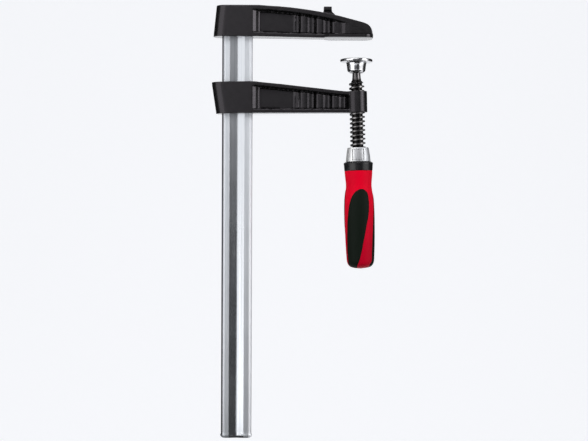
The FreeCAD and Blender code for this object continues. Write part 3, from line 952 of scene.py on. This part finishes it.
# The ferrule is a satin metal cone, spun and pressed on the spindle's tail. At the front, where
# such clamps carry a stamp, it has the stamp's engraved frame round a bare, greyer field.
ferrule_long = 16.4
ferrule_top = -thread_end
ferrule_low = ferrule_top - ferrule_long
ferrule_bore = 6.2
frame_depth = 1.1
cone = [(ferrule_bore, ferrule_top), (11.5, ferrule_top)]
cone += arc(11.5, ferrule_top - 0.8, 0.8, 90, 12, 4)
cone += [(12.9, ferrule_top - 4.4), (13.55, ferrule_top - 8.8), (14.0, ferrule_top - 13.0)]
cone += [(14.25, ferrule_low + 0.9), (14.1, ferrule_low + 0.4), (ferrule_bore, ferrule_low + 0.4)]
ferrule = turned("ferrule_cone", cone, 128)
window = block("window", (-7.3, -20.0, ferrule_low + 1.2), (6.5, -10.3, ferrule_top - 1.6))
edit(window)
pick(window, "verts", lambda v, at: at.y > -15 and at.z < ferrule_low + 5)
bpy.ops.transform.translate(value=(0, -1.5 * MM, 0))
pick(window, "edges", lambda edge, at: abs(edge.verts[0].co.y - edge.verts[1].co.y) > 4 * MM)
bpy.ops.mesh.bevel(offset=0.8 * MM, segments=4, affect="EDGES")
close()
kept_inside = block(
    "kept_inside", (-6.3, -21.0, ferrule_low + 2.3), (5.5, -5.0, ferrule_top - 2.7)
)
machined(window, kept_inside)
core = [(r - frame_depth, z) for r, z in cone[4:-2]]
kept_core = turned("kept_core", [(0, ferrule_top + 2)] + core + [(0, ferrule_low - 2)], 128)
machined(window, kept_core)
machined(ferrule, window)
stand(ferrule, on_spindle)
smooth(ferrule, 32)

satin = Finish("satin_metal", Metallic=1.0, Anisotropic=0.1)
satin_x, satin_y, satin_z = satin.parts(satin.mapped(**on_axis))
lathe = satin.stripes(satin_z * 5200.0)
haze = satin.noise(300.0, 3.0)
spun_and_highlight = satin.mix(lathe * 0.6 + haze * 0.4, (0.54, 0.55, 0.57, 1), (0.70, 0.71, 0.73, 1))
# Painted highlight: the base colour is brightened towards the ferrule's left side.
spun_and_highlight = satin.mix((0.0 - satin_x).ramp(3.0 * MM, 7.5 * MM) * 0.9, spun_and_highlight, (0.94, 0.94, 0.94, 1))
off_middle = satin_x + 0.4 * MM
out_from_middle = (off_middle * off_middle) ** 0.5
front = (0.0 - satin_y).ramp(0.0, 2.0 * MM)
below_top = (ferrule_top * MM - satin_z).ramp(1.6 * MM, 2.4 * MM)
framed = below_top * (satin_z - ferrule_low * MM).ramp(0.6 * MM, 1.8 * MM)
stamped = (1.0 - out_from_middle.ramp(3.2 * MM, 6.4 * MM)) * framed * front
spun_and_highlight = satin.mix(stamped * 0.75, spun_and_highlight, (0.36, 0.36, 0.37, 1))
# Painted shade: the engraved frame line is darkened in the base colour, as shade in the groove.
line = out_from_middle.ramp(5.8 * MM, 6.1 * MM)
line = line * (1.0 - out_from_middle.ramp(6.6 * MM, 6.9 * MM)) * framed * front
satin.set(Base_Color=satin.mix(line * 0.9, spun_and_highlight, (0.12, 0.12, 0.12, 1)))
satin.set(Roughness=0.43 + 0.10 * haze + 0.08 * lathe)
satin.relief(lathe * 0.7 + haze * 0.3, 0.02, 0.5)
finish_piece(ferrule, "screw", "satin_metal", satin.material, "ferrule")


# The collar is a glossy black plastic ring with a chamfered top. It is moulded apart and pressed
# on between the ferrule and the handle, where it laps over the handle's top.
collar_top = ferrule_low + 0.28
collar_low = ferrule_low - 10.2
collar_bore = 6.5
ring = [(collar_bore, collar_top), (14.6, collar_top)]
ring += arc(14.6, collar_top - 0.5, 0.5, 90, 45, 3)
ring += [(16.2, collar_top - 1.25)]
ring += arc(16.3, collar_top - 1.85, 0.62, 60, 0, 4)
ring += [(16.55, collar_top - 5.0), (16.25, collar_low + 0.5), (15.9, collar_low)]
ring += [(collar_bore, collar_low)]
collar = turned("collar_ring", ring, 128)
stand(collar, on_spindle)
smooth(collar, 30)

gloss = Finish("glossy_black_plastic", Specular_IOR_Level=0.42)
film = gloss.noise(140.0, 3.0)
tiny = gloss.noise(1600.0, 2.0)
gloss.set(Base_Color=gloss.mix(film, (0.004, 0.004, 0.0045, 1), (0.007, 0.007, 0.008, 1)))
gloss.set(Roughness=0.22 + 0.10 * film)
gloss.relief(tiny * 0.5 + film * 0.5, 0.015, 0.4)
finish_piece(collar, "screw_carrier", "black_plastic", gloss.material, "collar")


# The handle is hard red plastic moulded over the spindle's tail: a waist below the collar, a
# full belly and a domed end. Three recesses wind round it for the soft grips.
handle_top = ferrule_low - 9.2
handle_long = 113.3
handle_stops = (
    (1.1, 16.0), (4.0, 15.85), (8.0, 15.5), (12.0, 15.1), (15.5, 14.82), (18.0, 14.75),
    (21.0, 14.95), (25.0, 15.5), (30.0, 16.2), (35.0, 16.65), (41.0, 16.95), (48.0, 17.1),
    (58.0, 17.1), (66.0, 17.0), (76.0, 16.8), (86.0, 16.5), (95.0, 16.1), (102.0, 15.72),
    (105.0, 15.4), (107.4, 14.7), (109.4, 13.5), (110.9, 11.9), (111.9, 9.6), (112.6, 6.6),
    (113.0, 3.2),
)
rings_per_stop = 3


def handle_line(grow):
    """The handle's outline from the middle of its top to its end, standing off by grow."""
    stops = [(0.0, handle_top - handle_stops[0][0])]
    for (s0, r0), (s1, r1) in zip(handle_stops, handle_stops[1:]):
        for k in range(rings_per_stop):
            share = k / rings_per_stop
            stops.append((r0 + (r1 - r0) * share + grow, handle_top - s0 - (s1 - s0) * share))
    last_s, last_r = handle_stops[-1]
    stops.append((last_r + grow, handle_top - last_s - grow * 0.7))
    stops.append((0.0, handle_top - handle_long - grow))
    return stops


grip_left = (
    (118.0, -13.2), (108.0, -12.5), (92.0, -13.0), (72.0, -12.6), (50.0, -10.7), (35.0, -7.4),
    (28.0, -3.9),
)
grip_crown = ((24.0, 0.3), (22.2, 4.7), (22.9, 8.5), (26.0, 11.3))
grip_right = (
    (34.0, 13.0), (42.0, 13.3), (50.0, 12.9), (66.0, 10.2), (82.0, 7.1), (97.0, 3.7),
    (104.0, 1.6), (109.0, -0.9), (118.0, -5.6),
)
grip_facing = radians(12.5)
grip_turns = [i * 2 * pi / 3 for i in range(3)]
leaf_half = 12.5
leaf_reach = 19.5


def leaf(name, turn, inward):
    """A prism with a grip's leaf outline, seen from the middle of the grip."""
    curve = bpy.data.curves.new(name, "CURVE")
    curve.dimensions = "2D"
    curve.fill_mode = "BOTH"
    curve.extrude = leaf_half * MM
    curve.offset = -inward * MM
    spline = curve.splines.new("BEZIER")
    stops = grip_left + grip_crown + grip_right
    spline.bezier_points.add(len(stops) - 1)
    for point, (s, u) in zip(spline.bezier_points, stops):
        point.co = (u * MM, (handle_top - s) * MM, 0)
        point.handle_left_type = point.handle_right_type = "AUTO"
    spline.use_cyclic_u = True
    spline.resolution_u = 8
    spline.bezier_points[0].handle_left_type = "VECTOR"
    spline.bezier_points[-1].handle_right_type = "VECTOR"
    holder = bpy.data.objects.new(name, curve)
    bpy.context.collection.objects.link(holder)
    only(holder)
    bpy.ops.object.convert(target="MESH")
    prism = bpy.context.object
    outward = Matrix.Translation((0, -leaf_reach * MM, 0))
    face_on = Matrix.Rotation(turn - grip_facing, 4, "Z") @ outward
    stand(prism, face_on @ Matrix.Rotation(pi / 2, 4, "X"))
    return prism


body = turned("handle_shell", handle_line(0.0), 160)
for turn in grip_turns:
    machined(body, leaf("recess", turn, 0.0))
stand(body, on_spindle)
smooth(body, 30)

red = Finish("red_moulded_plastic", Specular_IOR_Level=0.14, Specular_Tint=(1.0, 0.2, 0.3, 1))
flow = red.noise(70.0, 3.0)
skin = red.noise(1300.0, 3.0)
_, _, red_z = red.parts(red.place)
# Painted shade: the red darkens towards the handle's end, with a little random tone from the flow
# noise.
painted_shade = red_z.ramp(-0.262, -0.165) * 0.85 + flow * 0.15
red.set(Base_Color=red.mix(painted_shade, (0.42, 0.0012, 0.016, 1), (0.72, 0.0010, 0.019, 1)))
red.set(Roughness=0.42 + 0.10 * flow + 0.05 * skin)
red.relief(skin * 0.6 + flow * 0.4, 0.03, 0.45)
finish_piece(body, "screw", "red_plastic", red.material, "handle_body")


# The three grips are soft black rubber, moulded into the handle's recesses. They stand a little
# proud with rounded rims, and a fine matt grain gives the hand its hold.
grip_proud = 0.35
rim_gap = 0.12
rubber = Finish("soft_black_rubber", Specular_IOR_Level=0.1)
sheen = rubber.noise(180.0, 3.0)
pebble = rubber.cells(1500.0)
rubber.set(Base_Color=rubber.mix(sheen, (0.0022, 0.0050, 0.0026, 1), (0.0036, 0.0074, 0.0040, 1)))
rubber.set(Roughness=0.52 + 0.16 * sheen)
rubber.relief(pebble.ramp(0.0, 0.6) * 0.6 + sheen * 0.4, 0.06, 0.5)

for number, turn in enumerate(grip_turns, 1):
    grip = turned("grip_leaf_%d" % number, handle_line(grip_proud), 160)
    combined(grip, leaf("edge_leaf", turn, rim_gap), "INTERSECT")
    moulded(grip, 0.36, 3, 0.6)
    stand(grip, on_spindle)
    smooth(grip, 60)
    finish_piece(grip, "screw", "black_rubber", rubber.material, "grip_insert_%d" % number)
